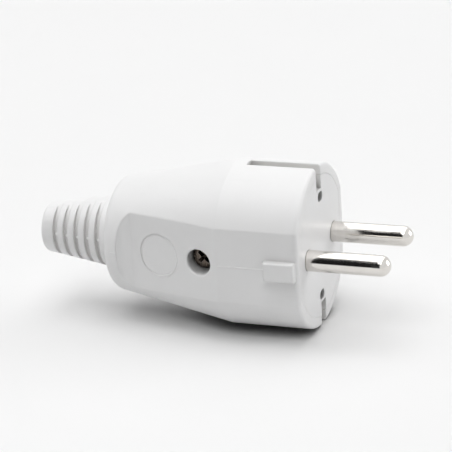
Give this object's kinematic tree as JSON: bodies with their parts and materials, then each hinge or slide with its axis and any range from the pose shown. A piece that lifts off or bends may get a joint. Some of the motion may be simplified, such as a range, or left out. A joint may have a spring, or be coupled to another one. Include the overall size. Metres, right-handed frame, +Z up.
{
  "type": "type f plug",
  "caption": "Rewirable straight type F mains plug: round contact pins, side earth contacts in open slots, finger recesses and a ribbed bend protector with an open cable bore.",
  "frame": {"origin": "centre of the engagement face, from which the contact pins stand out", "axes": "+X along the plug towards the pin tips, +Y from the line pin to the neutral pin, +Z up through the earth slots"},
  "size_m": [0.0862, 0.0372, 0.038],
  "materials": {
    "housing": "satin moulded",
    "carrier": "smooth moulded",
    "nickel_plate": "nickel plated",
    "brass": "machined",
    "zinc_steel": "zinc plated",
    "browned_steel": "browned",
    "clamp_plastic": "moulded"
  },
  "bodies": {
    "root": {"housing": "housing", "pin_carrier": "carrier", "line_pin": "nickel_plate", "neutral_pin": "nickel_plate", "line_terminal": "brass", "neutral_terminal": "brass", "line_terminal_screw": "zinc_steel", "neutral_terminal_screw": "zinc_steel", "earth_strap": "nickel_plate", "earth_terminal_nut": "brass", "earth_clamp_washer": "zinc_steel", "earth_terminal_screw": "zinc_steel", "cord_clamp": "clamp_plastic", "cord_clamp_screw_left": "zinc_steel", "cord_clamp_screw_right": "zinc_steel", "housing_screw": "browned_steel", "housing_nut": "brass"}
  },
  "joints": []
}
